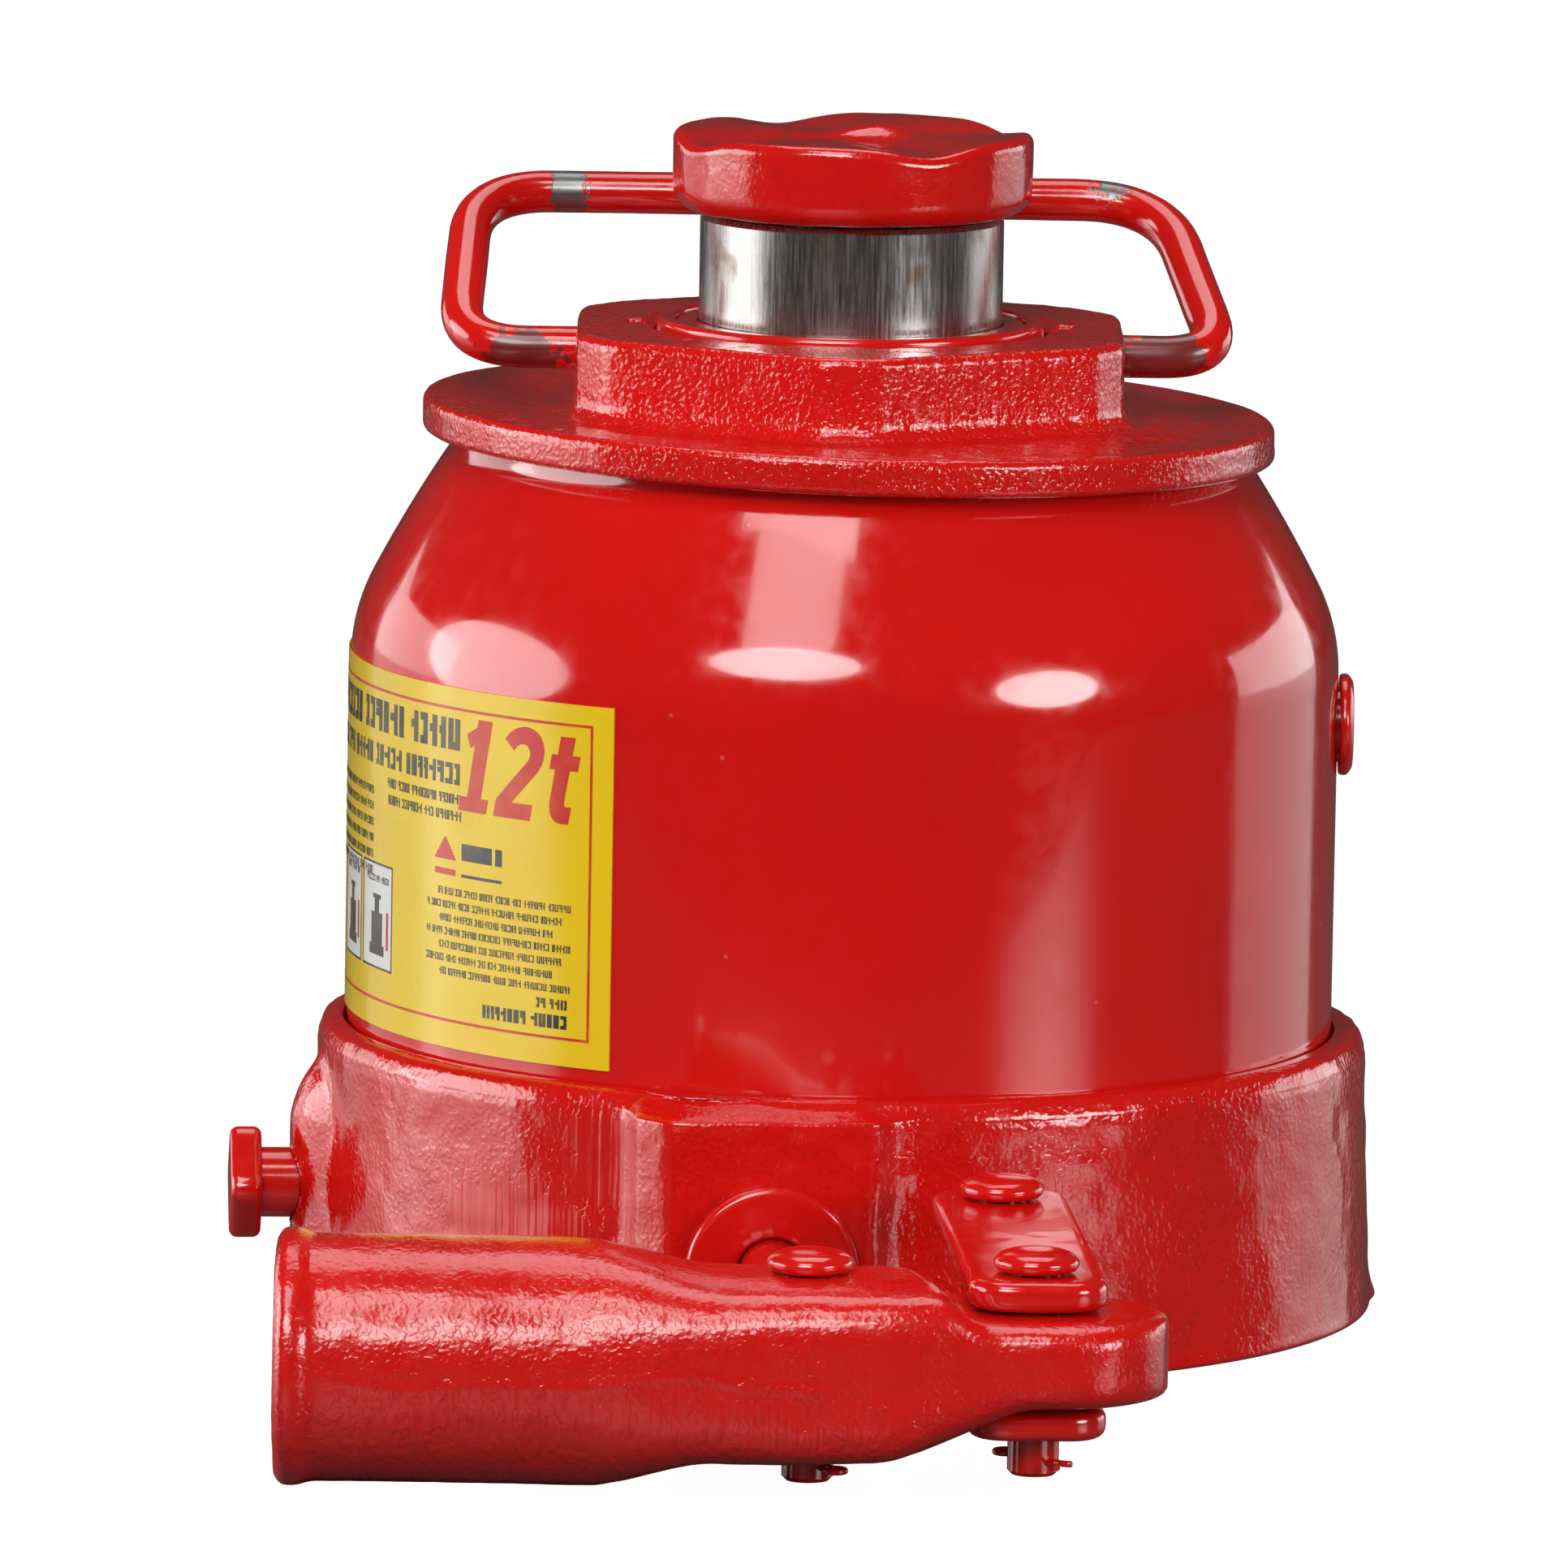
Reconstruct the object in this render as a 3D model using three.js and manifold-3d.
// A low two-stage hydraulic bottle jack with a side pump, in millimetres, +Z up.
// The origin is on the lifting axis at the underside of the base, and the pump side faces -Y.
import * as THREE from 'three';
import { mergeVertices } from 'three/addons/utils/BufferGeometryUtils.js';
import Module from 'manifold-3d';

const wasm = await Module();
wasm.setup();
const DEG = Math.PI / 180;

// ---------------------------------------------------------------- driving dimensions

const REACH = 40; // how far a cutting tool runs past what it cuts
const SLIDE_GAP = 0.05; // a seal to the wall it rubs on
const PART_GAP = 0.3; // between pieces that touch face to face
const ROUND = 32; // flats on everything turned about the lifting axis, so that they line up

const BASE = { bottomR: 69.8, topR: 68.8, top: 37, floor: 26, seatFloor: 17, tankSeat: 32.4 };
const TANK = { r: 65.05, wall: 2.2, bottom: 33, shoulder: 84, neckR: 52.2, top: 112.6 };
const CYLINDER = { r: 30, bore: 25.2, bottom: 17.35, top: 117.6 };
const NUT = { flangeR: 56.1, flangeBottom: 113.2, flangeTop: 118.2, top: 129.2, flats: 72, corners: 78.6 };
const NUT_TURN = -4; // the nut's corner stands this far round from -Y, degrees
const GLAND = { r: 25.55, bore: 23.05, bottom: 118, top: 129.9 };
const FIRST = { r: 22.9, bore: 20.9, pistonR: 24.9, bottom: 18, pistonTop: 30, tubeTop: 120, top: 129.5 };
const SECOND = { r: 19.95, pistonR: 20.8, bottom: 22, pistonTop: 32, top: 143.6, neckR: 9, neckTop: 149 };
const SADDLE = { r: 23.75, bottom: 143.9, top: 155, bore: 9.15, boreTop: 149.5, turn: 22 };

const BAIL = { r: 2.9, pivotZ: 125.3, endX: 32, backY: 30, backZ: 142.6, lowLeft: -51.5, lowRight: 49 };
const PUMP = { x: -13.3, z: 15.3, face: -71.5, plungerR: 4.5, boreR: 7.8, boreEnd: -34.5 };
const LINK_PIN = { x: 14.7, y: -88.2 }; // link to base
const SOCKET_PIN = { x: 14.6, y: -141.4 }; // link to handle socket
const PLUNGER_PIN_U = -27.9; // plunger pin, from the socket pin along the socket
const PLUNGER_EYE_Y = -139.4;
const PIN_DRIFT = { x: 2.9, y: 1.4 }; // how far the plunger pin may stray in the plunger's eye
const SOCKET_TURN = -4; // the socket's long axis to +X, degrees
const LINK = { width: 17.5, overhang: 8.6, upper: [24, 28], lower: [7.9, 11.8] };
const PIN = { r: 3.3, headR: 5.4, headRise: 3, tail: 2.6, linkBottom: 2.6, forkBottom: 1.4, cotterR: 0.85 };
const SOCKET = { axisZ: 16.2, r: 15.4, bore: 11.5, mouth: -94.1, lip: 4.5, boreEnd: -50, tongue: [12.2, 23.7] };
const FORK = { z: [4.6, 27.5], slotZ: [10.4, 20.9], v: [-15.5, 14], eyeR: 11.2, rodHalf: 6.8 };

const RELEASE = { y: -6, z: 15.4, bossX: -72.6, stemR: 4.6, ballX: -47, ballR: 2.8 };
const FILLER = { z: 77, headR: 6.85, bodyR: 5.15, turn: -4 };
const LABEL = { z: [38.6, 85.7], right: 31, left: 119, thick: 0.2 }; // angles from -Y towards -X
const CHECK = { boreR: 4, seat: 12, ballR: 2.6, springR: 2.5, wireR: 0.4, plug: [22.5, 25.8] };
const CHECK_VALVES = { suction: [-34, -36], discharge: [9, -46], overload: [36, -34] };

// ---------------------------------------------------------------- solids

// A closed mesh as a solid whose faces point out.
function solid(geometry) {
  const bare = geometry.clone();
  bare.deleteAttribute('normal');
  bare.deleteAttribute('uv');
  const merged = mergeVertices(bare, 1e-4);
  const corner = (i) => merged.index.getX(i);
  const outward = [];
  const inward = [];
  for (let i = 0; i < merged.index.count; i += 3) {
    const [a, b, c] = [corner(i), corner(i + 1), corner(i + 2)];
    if (a === b || b === c || c === a) continue;
    outward.push(a, b, c);
    inward.push(a, c, b);
  }
  const vertProperties = Float32Array.from(merged.attributes.position.array);
  const build = (triangles) =>
    new wasm.Manifold(new wasm.Mesh({ numProp: 3, vertProperties, triVerts: Uint32Array.from(triangles) }));
  const made = build(outward);
  return made.volume() > 0 ? made : build(inward);
}

// A profile of [radius, height] points turned about Z.
function turned(profile, sides = ROUND) {
  const points = profile.map(([r, z]) => new THREE.Vector2(r, z));
  return solid(new THREE.LatheGeometry(points, sides).rotateX(90 * DEG));
}

function tube(inner, outer, low, high, sides = ROUND) {
  return turned([[inner, low], [outer, low], [outer, high], [inner, high], [inner, low]], sides);
}

// A round bar from one point to another.
function rod(r, from, to, sides = 18) {
  const start = new THREE.Vector3(...from);
  const along = new THREE.Vector3(...to).sub(start);
  const geometry = new THREE.CylinderGeometry(r, r, along.length(), sides);
  const turn = new THREE.Quaternion().setFromUnitVectors(new THREE.Vector3(0, 1, 0), along.clone().normalize());
  const middle = start.addScaledVector(along, 0.5);
  return solid(geometry.applyQuaternion(turn).translate(middle.x, middle.y, middle.z));
}

function disc(r, low, high, x = 0, y = 0, sides = 18) {
  return rod(r, [x, y, low], [x, y, high], sides);
}

function block([x0, x1], [y0, y1], [z0, z1]) {
  const geometry = new THREE.BoxGeometry(x1 - x0, y1 - y0, z1 - z0);
  return solid(geometry.translate((x0 + x1) / 2, (y0 + y1) / 2, (z0 + z1) / 2));
}

// A flat outline raised from one height to another.
function plate(shape, low, high, curveSegments = 10) {
  const geometry = new THREE.ExtrudeGeometry(shape, { depth: high - low, bevelEnabled: false, curveSegments });
  return solid(geometry.translate(0, 0, low));
}

// An outline in X and Z carried along Y.
function sidePlate(shape, low, high, curveSegments = 10) {
  const geometry = new THREE.ExtrudeGeometry(shape, { depth: high - low, bevelEnabled: false, curveSegments });
  return solid(geometry.rotateX(90 * DEG).translate(0, high, 0));
}

// A round wire along a curve.
function wire(curve, r, steps, sides) {
  const section = new THREE.Shape().absarc(0, 0, r, 0, 2 * Math.PI);
  const options = { steps, extrudePath: curve, curveSegments: sides / 2 };
  return solid(new THREE.ExtrudeGeometry(section, options));
}

function roundedRectangle([x0, x1], [y0, y1], r) {
  const shape = new THREE.Shape();
  shape.moveTo(x0 + r, y0);
  shape.lineTo(x1 - r, y0).absarc(x1 - r, y0 + r, r, -90 * DEG, 0);
  shape.lineTo(x1, y1 - r).absarc(x1 - r, y1 - r, r, 0, 90 * DEG);
  shape.lineTo(x0 + r, y1).absarc(x0 + r, y1 - r, r, 90 * DEG, 180 * DEG);
  shape.lineTo(x0, y0 + r).absarc(x0 + r, y0 + r, r, 180 * DEG, 270 * DEG);
  return shape;
}

function joined(first, ...others) {
  return others.reduce((whole, part) => whole.add(part), first);
}

function cut(first, ...tools) {
  return tools.reduce((whole, tool) => whole.subtract(tool), first);
}

// ---------------------------------------------------------------- finishes

const FINISH = {
  gloss: { color: 0xc8140f, roughness: 0.2, metalness: 0.0 },
  cast: { color: 0xc11410, roughness: 0.35, metalness: 0.0 },
  chrome: { color: 0xc9cac8, roughness: 0.15, metalness: 1.0 },
  steel: { color: 0x8e9092, roughness: 0.4, metalness: 1.0 },
  rubber: { color: 0x171717, roughness: 0.7, metalness: 0.0 },
  copper: { color: 0xb06a3c, roughness: 0.4, metalness: 1.0 },
  label: { color: 0xf2c80c, roughness: 0.4, metalness: 0.0 },
};

function named(name, shape, finish) {
  const made = shape.getMesh();
  const geometry = new THREE.BufferGeometry();
  geometry.setAttribute('position', new THREE.BufferAttribute(made.vertProperties, 3));
  geometry.setIndex(new THREE.BufferAttribute(made.triVerts, 1));
  geometry.computeVertexNormals();
  const mesh = new THREE.Mesh(geometry, new THREE.MeshStandardMaterial(FINISH[finish]));
  mesh.name = name;
  return mesh;
}

// ---------------------------------------------------------------- base casting

function baseCasting() {
  const body = turned([
    [0, 0], [BASE.bottomR - 1, 0], [BASE.bottomR, 1], [BASE.topR + 0.1, BASE.top - 2.4],
    [BASE.topR - 0.8, BASE.top - 0.7], [BASE.topR - 2.2, BASE.top], [0, BASE.top],
  ]);
  const seats = turned([
    [0, BASE.seatFloor], [CYLINDER.r + PART_GAP, BASE.seatFloor], [CYLINDER.r + PART_GAP, BASE.floor],
    [60, BASE.floor], [60, BASE.tankSeat], [TANK.r + 0.35, BASE.tankSeat], [TANK.r + 0.35, BASE.top + 1],
    [0, BASE.top + 1],
  ]);
  const chamfer = 4.6;
  const halfFlat = 13.4;
  const boss = new THREE.Shape();
  boss.moveTo(PUMP.x - halfFlat, PUMP.face).lineTo(PUMP.x + halfFlat, PUMP.face);
  boss.lineTo(PUMP.x + halfFlat + chamfer, PUMP.face + chamfer).lineTo(PUMP.x + halfFlat + chamfer, -61);
  boss.lineTo(PUMP.x - halfFlat - chamfer, -61).lineTo(PUMP.x - halfFlat - chamfer, PUMP.face + chamfer);
  const lugR = 9;
  const lug = new THREE.Shape();
  lug.moveTo(LINK_PIN.x + lugR + 6, -62).lineTo(LINK_PIN.x + lugR, LINK_PIN.y);
  lug.absarc(LINK_PIN.x, LINK_PIN.y, lugR, 0, -180 * DEG, true).lineTo(LINK_PIN.x - lugR - 3, -62);
  const column = turned([[0, 0], [9.6, 0], [9.6, 25], [6.5, 30.5], [0, 33]], 20).translate([-63, RELEASE.y, 0]);
  const foot = block([62, 72], [-7, 3], [0, 6]);
  let whole = joined(body, plate(boss, 0, BASE.top - 0.8), plate(lug, LINK.lower[1] + 0.4, LINK.upper[0] - 0.4));
  whole = joined(whole, column, foot);

  const pumpAxis = (r, from, to) => rod(r, [PUMP.x, from, PUMP.z], [PUMP.x, to, PUMP.z], 24);
  const releaseAxis = (r, from, to) => rod(r, [from, RELEASE.y, RELEASE.z], [to, RELEASE.y, RELEASE.z]);
  whole = cut(
    whole,
    seats,
    pumpAxis(8.9, PUMP.face - REACH, -61.9),
    pumpAxis(PUMP.boreR, -63, PUMP.boreEnd),
    disc(PIN.r + 0.2, -1, BASE.top, LINK_PIN.x, LINK_PIN.y),
    releaseAxis(RELEASE.stemR + 0.15, RELEASE.bossX - REACH, -50),
    releaseAxis(RELEASE.ballR + 0.2, -51, -44),
  );
  for (const [x, y] of Object.values(CHECK_VALVES)) {
    whole = cut(whole, disc(CHECK.boreR, CHECK.seat, BASE.floor + REACH / 4, x, y));
  }
  const oilway = 1.5;
  const drillings = [
    [[PUMP.x, PUMP.boreEnd - 1, PUMP.z], [...CHECK_VALVES.suction, CHECK.seat + 1.5]],
    [[PUMP.x, PUMP.boreEnd - 1, PUMP.z], [...CHECK_VALVES.discharge, CHECK.seat + 1.5]],
    [[...CHECK_VALVES.discharge, CHECK.seat + 2], [0, -8, BASE.seatFloor + 2]],
    [[...CHECK_VALVES.overload, CHECK.seat + 1.5], [8, -6, BASE.seatFloor + 2]],
    [[-45, RELEASE.y, RELEASE.z], [-8, 0, BASE.seatFloor + 2]],
    [[-55, RELEASE.y, RELEASE.z], [-55, RELEASE.y, BASE.floor + 2]],
  ];
  for (const [from, to] of drillings) whole = cut(whole, rod(oilway, from, to, 8));
  return whole;
}

// ---------------------------------------------------------------- tank, cylinder and cover

// The outside of the pressed tank: straight wall, rolled shoulder and a cone to the neck.
function tankOutline(inset) {
  const wallR = TANK.r - inset;
  const neckR = TANK.neckR - inset;
  const cone = Math.atan2(12.4, 21); // half angle of the cone, from the vertical
  const shoulderR = 25;
  const points = [[wallR, TANK.bottom]];
  const steps = 5;
  for (let i = 0; i <= steps; i += 1) {
    const turn = (cone * i) / steps;
    points.push([wallR - shoulderR * (1 - Math.cos(turn)), TANK.shoulder + shoulderR * Math.sin(turn)]);
  }
  const [lastR, lastZ] = points[points.length - 1];
  const neckZ = Math.min(TANK.top - 1.5, lastZ + (lastR - neckR) / Math.tan(cone));
  points.push([neckR, neckZ], [neckR, TANK.top]);
  return points;
}

function tankShell() {
  const outside = tankOutline(0);
  const inside = tankOutline(TANK.wall).reverse();
  const shell = turned([...outside, ...inside, outside[0]]);
  const turn = FILLER.turn * DEG;
  const reach = (d) => [d * Math.cos(turn), d * Math.sin(turn), FILLER.z];
  return cut(shell, rod(FILLER.bodyR + 0.15, reach(50), reach(80)));
}

function fillerPlug() {
  const turn = FILLER.turn * DEG;
  const reach = (d) => [d * Math.cos(turn), d * Math.sin(turn), FILLER.z];
  return joined(
    rod(FILLER.bodyR, reach(59.5), reach(66)),
    rod(FILLER.headR, reach(TANK.r + 0.2), reach(TANK.r + 2.2)),
  );
}

function coverNut() {
  const prism = (flats, turn) => {
    const r = flats / 2 / Math.cos(30 * DEG);
    const geometry = new THREE.CylinderGeometry(r, r, NUT.top - NUT.flangeTop + 1, 6).rotateX(90 * DEG);
    return solid(geometry.rotateZ(turn).translate(0, 0, (NUT.top + NUT.flangeTop - 1) / 2));
  };
  const hexagon = prism(NUT.flats, 0).intersect(prism(NUT.corners, 30 * DEG));
  const flange = turned([
    [0, NUT.flangeBottom - 14.2], [36, NUT.flangeBottom - 14.2], [36, NUT.flangeBottom],
    [NUT.flangeR - 1, NUT.flangeBottom], [NUT.flangeR, NUT.flangeBottom + 1],
    [NUT.flangeR, NUT.flangeTop - 1], [NUT.flangeR - 1, NUT.flangeTop], [0, NUT.flangeTop],
  ]);
  const bore = turned([
    [0, 90], [CYLINDER.r + PART_GAP, 90], [CYLINDER.r + PART_GAP, CYLINDER.top + PART_GAP],
    [GLAND.r + PART_GAP, CYLINDER.top + PART_GAP], [GLAND.r + PART_GAP, NUT.top - 1.2],
    [GLAND.r + 1.8, NUT.top + PART_GAP], [0, NUT.top + PART_GAP],
  ]);
  const notch = block([-(GLAND.r + 3.4), GLAND.r + 3.4], [-1.3, 1.3], [NUT.top - 3, NUT.top + 1]);
  const bailHole = (side) => rod(BAIL.r + 0.2, [side * 31, 0, BAIL.pivotZ], [side * REACH, 0, BAIL.pivotZ], 16);
  return cut(joined(flange, hexagon), bore, notch, bailHole(1), bailHole(-1));
}

// The carrying bail: one bent bar from a hole in the nut, round behind the ram, to the other hole.
function carryHandle() {
  const climb = Math.hypot(BAIL.backY, BAIL.backZ - BAIL.pivotZ);
  const corners = [
    [BAIL.endX, 0], [BAIL.lowRight, 0], [41.4, climb], [-50.2, climb], [BAIL.lowLeft, 0], [-BAIL.endX, 0],
  ];
  const bends = [5.5, 8.5, 8, 6.5];
  const path = new THREE.CurvePath();
  const lift = new THREE.Vector3(0, BAIL.backY / climb, (BAIL.backZ - BAIL.pivotZ) / climb);
  const at = (p) => new THREE.Vector3(p.x, 0, 0).addScaledVector(lift, p.y);
  const flat = corners.map(([x, y]) => new THREE.Vector2(x, y));
  let start = flat[0];
  bends.forEach((r, i) => {
    const [before, corner, after] = [flat[i], flat[i + 1], flat[i + 2]];
    const back = before.clone().sub(corner).normalize();
    const ahead = after.clone().sub(corner).normalize();
    const trim = r / Math.tan(Math.acos(back.dot(ahead)) / 2);
    const enter = corner.clone().addScaledVector(back, trim);
    const leave = corner.clone().addScaledVector(ahead, trim);
    path.add(new THREE.LineCurve3(at(start), at(enter)));
    path.add(new THREE.QuadraticBezierCurve3(at(enter), at(corner), at(leave)));
    start = leave;
  });
  path.add(new THREE.LineCurve3(at(start), at(flat[flat.length - 1])));
  return wire(path, BAIL.r, 48, 8);
}

function labelSheet() {
  const from = (-90 - LABEL.left) * DEG;
  const to = (-90 - LABEL.right) * DEG;
  const inner = TANK.r + 0.1;
  const outer = inner + LABEL.thick;
  const shape = new THREE.Shape();
  shape.moveTo(inner * Math.cos(from), inner * Math.sin(from)).absarc(0, 0, inner, from, to, false);
  shape.lineTo(outer * Math.cos(to), outer * Math.sin(to)).absarc(0, 0, outer, to, from, true);
  return plate(shape, ...LABEL.z, 9);
}

// ---------------------------------------------------------------- rams and saddle

function glandRing() {
  const groove = (low, high, r) => tube(GLAND.bore - 1, r, low, high);
  const ring = tube(GLAND.bore, GLAND.r, GLAND.bottom, GLAND.top);
  return cut(ring, groove(120.5, 122.9, 24.4), groove(126.3, 128, 24.2));
}

function firstStageRam() {
  return turned([
    [FIRST.pistonR, FIRST.bottom], [FIRST.pistonR, 22.6], [23.3, 22.6], [23.3, 26.2], [FIRST.pistonR, 26.2],
    [FIRST.pistonR, FIRST.pistonTop], [FIRST.r, FIRST.pistonTop], [FIRST.r, FIRST.tubeTop],
    [FIRST.bore, FIRST.tubeTop], [FIRST.bore, 21.2], [6, 21.2], [6, FIRST.bottom],
    [FIRST.pistonR, FIRST.bottom],
  ]);
}

function secondStageRam() {
  return turned([
    [0, SECOND.bottom], [SECOND.pistonR, SECOND.bottom], [SECOND.pistonR, 25], [19.4, 25], [19.4, 28],
    [SECOND.pistonR, 28], [SECOND.pistonR, SECOND.pistonTop], [SECOND.r, SECOND.pistonTop],
    [SECOND.r, SECOND.top], [SECOND.neckR, SECOND.top], [SECOND.neckR, 146], [8.2, 146], [8.2, 147.2],
    [SECOND.neckR, 147.2], [SECOND.neckR, SECOND.neckTop], [0, SECOND.neckTop],
  ]);
}

// A round pad with four lands, two crossed valleys and a dished middle.
function saddlePad() {
  const pad = turned([
    [0, SADDLE.boreTop], [SADDLE.bore, SADDLE.boreTop], [SADDLE.bore, 147.2], [9.9, 147.2], [9.9, 146],
    [SADDLE.bore, 146], [SADDLE.bore, SADDLE.bottom], [22, SADDLE.bottom], [SADDLE.r, 145.5],
    [SADDLE.r, SADDLE.top - 1.2], [SADDLE.r - 1.2, SADDLE.top], [0, SADDLE.top],
  ]);
  const valleyR = 14;
  const valleyDepth = 2;
  const height = SADDLE.top + valleyR - valleyDepth;
  const valley = (turn) => {
    const [x, y] = [REACH * Math.cos(turn * DEG), REACH * Math.sin(turn * DEG)];
    return rod(valleyR, [-x, -y, height], [x, y, height], 32);
  };
  const dish = disc(9.5, SADDLE.top - 2.6, SADDLE.top + 1, 0, 0, 32);
  return cut(pad, valley(SADDLE.turn), valley(SADDLE.turn + 90), dish);
}

// ---------------------------------------------------------------- pump

function pumpGlandNut() {
  const along = (r, from, to) => rod(r, [PUMP.x, from, PUMP.z], [PUMP.x, to, PUMP.z], 24);
  return cut(
    joined(along(11.2, -73.9, -71.7), along(8.7, -72.5, -62.1)),
    along(PUMP.plungerR + 0.1, -80, -55),
    along(6.6, -69.5, -66.5),
  );
}

function pumpRing(inner, outer, from, to) {
  const along = (r, a, b) => rod(r, [PUMP.x, a, PUMP.z], [PUMP.x, b, PUMP.z], 24);
  return cut(along(outer, from, to), along(inner, from - 1, to + 1));
}

// The plunger, with a flat eye whose long hole lets the pin's arc drift sideways.
function pumpPlunger() {
  const eyeZ = [PUMP.z - 4, PUMP.z + 4];
  const shank = rod(PUMP.plungerR, [PUMP.x, -52, PUMP.z], [PUMP.x, PLUNGER_EYE_Y + 5, PUMP.z], 24);
  const eye = disc(8.7, ...eyeZ, PUMP.x, PLUNGER_EYE_Y, 24);
  const holeHalf = { x: PIN.r + PIN_DRIFT.x, y: PIN.r + PIN_DRIFT.y };
  const hole = new THREE.CylinderGeometry(1, 1, 3 * PUMP.plungerR, 24).rotateX(90 * DEG);
  hole.scale(holeHalf.x, holeHalf.y, 1).translate(PUMP.x, PLUNGER_EYE_Y, PUMP.z);
  return cut(joined(shank, eye), solid(hole));
}

function linkPlate([low, high]) {
  const shape = roundedRectangle(
    [-LINK.width / 2, LINK.width / 2],
    [-LINK.overhang, LINK_PIN.y - SOCKET_PIN.y + LINK.overhang],
    5,
  );
  const hole = (y) => disc(PIN.r + 0.1, low - 1, high + 1, 0, y);
  return cut(plate(shape, low, high, 5), hole(0), hole(LINK_PIN.y - SOCKET_PIN.y));
}

// A cotter crosses its pin's tail, just above the end.
function cotterHeight(bottom) {
  return bottom + PIN.tail * 0.75;
}

// A pin with a domed head.
function headedPin(seatZ, bottom) {
  const dome = [];
  const steps = 4;
  for (let i = 0; i <= steps; i += 1) {
    const turn = (90 * DEG * i) / steps;
    dome.push([PIN.headR * Math.cos(turn), seatZ + 0.9 + (PIN.headRise - 0.9) * Math.sin(turn)]);
  }
  dome[steps][0] = 0;
  const pin = turned([[0, bottom], [PIN.r, bottom], [PIN.r, seatZ], [PIN.headR, seatZ], ...dome], 16);
  const z = cotterHeight(bottom);
  return cut(pin, rod(PIN.cotterR + 0.2, [-6, 0, z], [6, 0, z], 10));
}

function cotterPin(bottom) {
  const z = cotterHeight(bottom);
  const leg = rod(PIN.cotterR, [-5.2, 0, z], [7.8, 0, z], 8);
  const loop = solid(new THREE.TorusGeometry(1.5, 0.65, 6, 12).translate(-6.6, 0, z));
  return joined(leg, loop);
}

// The handle socket lies along its own x, with its origin at the socket pin.
function handleSocket() {
  const rounded = (r, from, to, z = SOCKET.axisZ) => rod(r, [from, 0, z], [to, 0, z], 28);
  const frustum = new THREE.CylinderGeometry(11.4, SOCKET.r, 12, 28).rotateZ(-90 * DEG);
  frustum.translate(-47, 0, SOCKET.axisZ);
  const side = new THREE.Shape();
  side.moveTo(-53, FORK.z[0]).lineTo(-17, FORK.z[0]).lineTo(-1, SOCKET.tongue[0]);
  side.lineTo(17, SOCKET.tongue[0]).lineTo(17, SOCKET.tongue[1]).lineTo(-8, SOCKET.tongue[1]);
  side.lineTo(-16, FORK.z[1]).lineTo(-53, FORK.z[1]);
  const plan = new THREE.Shape();
  const nose = { u: 3, r: 13.5 };
  plan.moveTo(-53, FORK.v[0]).lineTo(-16, FORK.v[0]).lineTo(-8, -nose.r).lineTo(nose.u, -nose.r);
  plan.absarc(nose.u, 0, nose.r, -90 * DEG, 90 * DEG).lineTo(-53, FORK.v[1]);
  const section = roundedRectangle(FORK.v, FORK.z, 7);
  const sectionAlong = new THREE.ExtrudeGeometry(section, { depth: 72, bevelEnabled: false, curveSegments: 5 });
  sectionAlong.rotateX(90 * DEG).rotateZ(90 * DEG).translate(-54, 0, 0);
  const head = sidePlate(side, -20, 20).intersect(plate(plan, 0, 40, 16)).intersect(solid(sectionAlong));
  let whole = joined(
    rounded(SOCKET.r, SOCKET.mouth + 2, -52.5),
    rounded(SOCKET.r + 0.6, SOCKET.mouth, SOCKET.mouth + SOCKET.lip, SOCKET.axisZ + 0.5),
    solid(frustum),
    head,
  );
  whole = cut(whole, rounded(SOCKET.bore, SOCKET.mouth - 5, SOCKET.boreEnd));

  // The slot for the plunger's eye and shank, through the pump's whole swing.
  whole = cut(whole, disc(FORK.eyeR, ...FORK.slotZ, PLUNGER_PIN_U, 0, 24));
  for (const turn of [-12, -2, 8, 18, 28, 38]) {
    const geometry = new THREE.BoxGeometry(2 * FORK.rodHalf, REACH, FORK.slotZ[1] - FORK.slotZ[0]);
    geometry.translate(0, REACH / 2, 0).rotateZ(turn * DEG);
    geometry.translate(PLUNGER_PIN_U, 0, (FORK.slotZ[0] + FORK.slotZ[1]) / 2);
    whole = cut(whole, solid(geometry));
  }
  // The space the two link plates swing through.
  for (const turn of [-14, -2, 10, 22, 34]) {
    for (const [low, high] of [[-1, SOCKET.tongue[0]], [SOCKET.tongue[1], 40]]) {
      const shape = roundedRectangle([-LINK.width / 2 - 0.5, LINK.width / 2 + 0.5], [-LINK.overhang - 0.6, 60], 5);
      const swing = plate(shape, low, high, 5);
      whole = cut(whole, swing.rotate([0, 0, turn]));
    }
  }
  const hole = (u, r) => disc(r, -1, 40, u, 0);
  return cut(whole, hole(0, PIN.r + 0.2), hole(PLUNGER_PIN_U, PIN.r + 0.1));
}

// ---------------------------------------------------------------- release valve and check valves

function releaseStem() {
  const along = (r, from, to) => rod(r, [from, RELEASE.y, RELEASE.z], [to, RELEASE.y, RELEASE.z]);
  const groove = cut(along(6, -64, -61.8), along(3.6, -70, -60));
  return cut(along(RELEASE.stemR, -78.6, -50.2), groove);
}

function releaseSeal() {
  const along = (r, from, to) => rod(r, [from, RELEASE.y, RELEASE.z], [to, RELEASE.y, RELEASE.z]);
  return cut(along(RELEASE.stemR, -63.9, -61.9), along(3.7, -70, -60));
}

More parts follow.
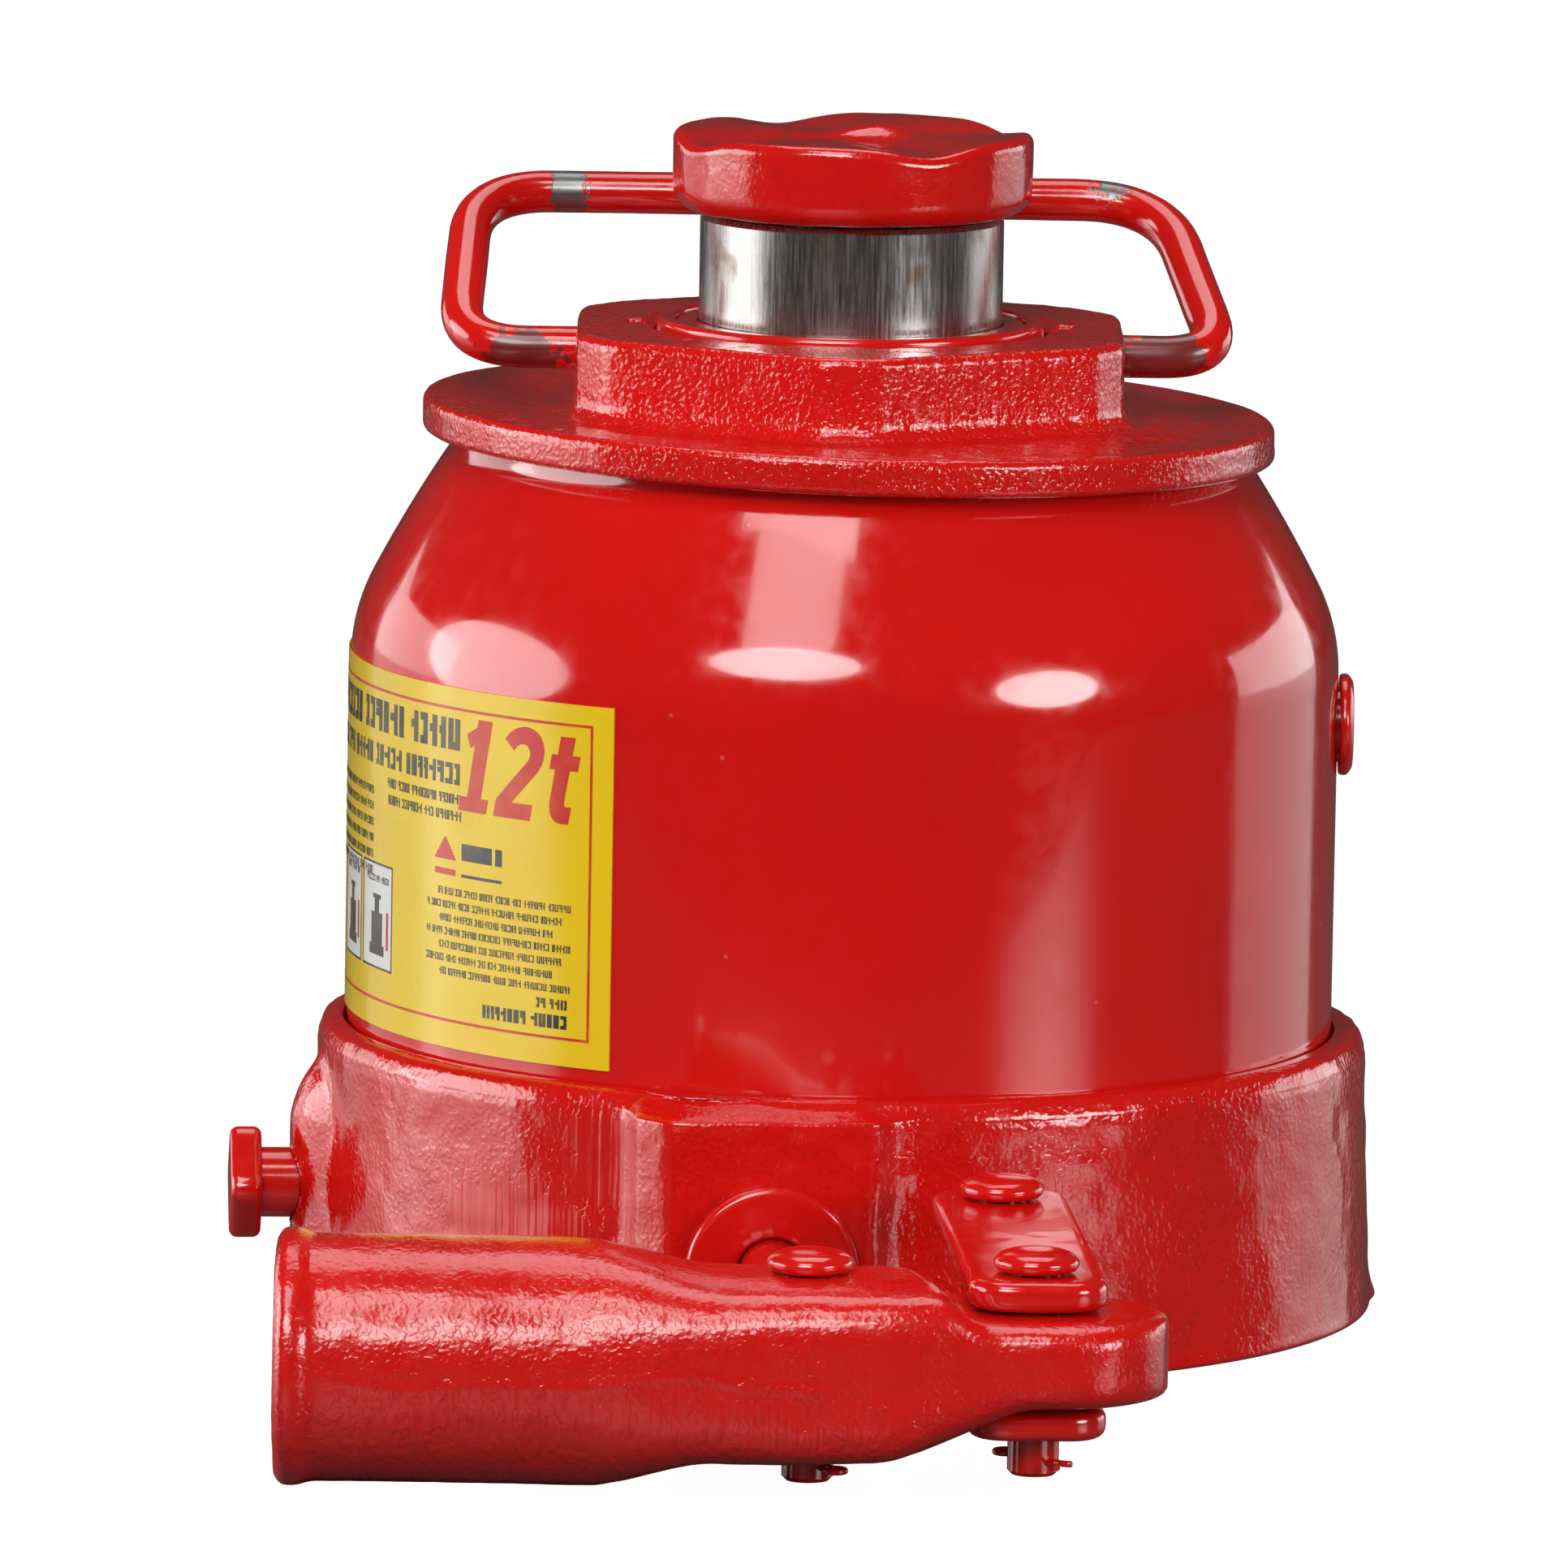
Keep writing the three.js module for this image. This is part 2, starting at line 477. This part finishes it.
// A four-lobed knob that a slotted handle end turns.
function releaseKnob() {
  const shape = new THREE.Shape();
  const sides = 40;
  for (let i = 0; i <= sides; i += 1) {
    const turn = (360 * DEG * i) / sides;
    const r = 6.6 + 0.8 * Math.cos(4 * turn);
    const [x, y] = [r * Math.cos(turn), r * Math.sin(turn)];
    if (i === 0) shape.moveTo(x, y);
    else if (i < sides) shape.lineTo(x, y);
  }
  const geometry = new THREE.ExtrudeGeometry(shape, { depth: 4.3, bevelEnabled: false });
  geometry.rotateY(90 * DEG).translate(RELEASE.bossX - 8.6, RELEASE.y, RELEASE.z);
  const shank = RELEASE.stemR + 0.1;
  return cut(solid(geometry), rod(shank, [-78.9, RELEASE.y, RELEASE.z], [-70, RELEASE.y, RELEASE.z]));
}

function springWire() {
  const turns = 4;
  const [low, high] = [CHECK.seat + 2 * CHECK.ballR + 0.6, CHECK.plug[0] - 0.6];
  class Helix extends THREE.Curve {
    getPoint(t, target = new THREE.Vector3()) {
      const turn = 2 * Math.PI * turns * t;
      const r = CHECK.springR - CHECK.wireR;
      return target.set(r * Math.cos(turn), r * Math.sin(turn), low + (high - low) * t);
    }
  }
  return wire(new Helix(), CHECK.wireR, 28, 4);
}

// ---------------------------------------------------------------- assembly

const jack = new THREE.Group();

jack.add(named('base_casting', baseCasting(), 'cast'));
jack.add(named('tank_gasket', tube(60.5, TANK.r - 0.1, BASE.tankSeat + 0.05, TANK.bottom - 0.05), 'rubber'));
jack.add(named('tank', tankShell(), 'gloss'));
jack.add(named('rating_label', labelSheet(), 'label'));
jack.add(named('filler_plug', fillerPlug(), 'gloss'));
jack.add(named('cylinder_gasket', tube(25.5, 29.8, BASE.seatFloor + 0.05, CYLINDER.bottom - 0.05), 'copper'));
jack.add(named('cylinder', tube(CYLINDER.bore, CYLINDER.r, CYLINDER.bottom, CYLINDER.top), 'steel'));
jack.add(named('cover_seal', tube(50.2, 52, TANK.top + 0.05, NUT.flangeBottom - 0.05), 'rubber'));

const cover = new THREE.Group();
cover.rotation.z = NUT_TURN * DEG;
cover.add(named('cover_nut', coverNut(), 'cast'));
const carryHandleMesh = named('carry_handle', carryHandle(), 'gloss');
carryHandleMesh.position.z = BAIL.pivotZ;
cover.add(carryHandleMesh);
jack.add(cover);

jack.add(named('gland_ring', glandRing(), 'gloss'));
jack.add(named('gland_seal', tube(FIRST.r + SLIDE_GAP, 24.3, 120.7, 122.7), 'rubber'));
jack.add(named('wiper_ring', tube(FIRST.r + SLIDE_GAP, 24.1, 126.5, 127.8), 'rubber'));

jack.add(named('first_stage_ram', firstStageRam(), 'steel'));
jack.add(named('first_stage_seal', tube(23.4, CYLINDER.bore - SLIDE_GAP, 22.8, 26), 'rubber'));
const collar = tube(SECOND.r + 0.1, FIRST.r, FIRST.tubeTop + PART_GAP, FIRST.top);
jack.add(named('first_stage_collar', collar, 'steel'));
jack.add(named('second_stage_ram', secondStageRam(), 'chrome'));
jack.add(named('second_stage_seal', tube(19.5, FIRST.bore - SLIDE_GAP, 25.2, 27.8), 'rubber'));
jack.add(named('saddle', saddlePad(), 'cast'));
jack.add(named('saddle_retaining_ring', tube(8.3, 9.7, 146.2, 147), 'steel'));

jack.add(named('pump_cylinder', pumpRing(PUMP.plungerR + 0.1, 7.6, -61.7, -35), 'steel'));
jack.add(named('pump_gland_nut', pumpGlandNut(), 'gloss'));
jack.add(named('pump_packing', pumpRing(PUMP.plungerR + SLIDE_GAP, 6.5, -69.3, -66.7), 'rubber'));
jack.add(named('pump_plunger', pumpPlunger(), 'gloss'));

const link = new THREE.Group();
link.position.set(SOCKET_PIN.x, SOCKET_PIN.y, 0);
link.add(named('link_plate_upper', linkPlate(LINK.upper), 'gloss'));
link.add(named('link_plate_lower', linkPlate(LINK.lower), 'gloss'));
for (const [name, y] of [['socket_pin', 0], ['link_pin', LINK_PIN.y - SOCKET_PIN.y]]) {
  const pin = named(name, headedPin(LINK.upper[1] + SLIDE_GAP, PIN.linkBottom), 'gloss');
  const cotter = named(`${name}_cotter`, cotterPin(PIN.linkBottom), 'gloss');
  pin.position.y = y;
  cotter.position.y = y;
  link.add(pin, cotter);
}
jack.add(link);

const socket = new THREE.Group();
socket.position.copy(link.position);
socket.rotation.z = SOCKET_TURN * DEG;
socket.add(named('handle_socket', handleSocket(), 'cast'));
const plungerPin = named('plunger_pin', headedPin(FORK.z[1] + SLIDE_GAP, PIN.forkBottom), 'gloss');
const plungerPinCotter = named('plunger_pin_cotter', cotterPin(PIN.forkBottom), 'gloss');
plungerPin.position.x = PLUNGER_PIN_U;
plungerPinCotter.position.x = PLUNGER_PIN_U;
socket.add(plungerPin, plungerPinCotter);
jack.add(socket);

jack.add(named('release_valve_stem', releaseStem(), 'gloss'));
jack.add(named('release_valve_seal', releaseSeal(), 'rubber'));
jack.add(named('release_valve_knob', releaseKnob(), 'gloss'));
const releaseBall = solid(new THREE.SphereGeometry(RELEASE.ballR, 14, 8));
const releaseBallMesh = named('release_ball', releaseBall, 'steel');
releaseBallMesh.position.set(RELEASE.ballX, RELEASE.y, RELEASE.z);
jack.add(releaseBallMesh);

for (const [name, [x, y]] of Object.entries(CHECK_VALVES)) {
  const valve = new THREE.Group();
  valve.position.set(x, y, 0);
  const ball = named(`${name}_ball`, solid(new THREE.SphereGeometry(CHECK.ballR, 14, 8)), 'steel');
  ball.position.z = CHECK.seat + CHECK.ballR + SLIDE_GAP;
  valve.add(ball);
  valve.add(named(`${name}_spring`, springWire(), 'steel'));
  valve.add(named(`${name}_plug`, disc(CHECK.boreR - 0.1, ...CHECK.plug), 'steel'));
  jack.add(valve);
}

export default jack;
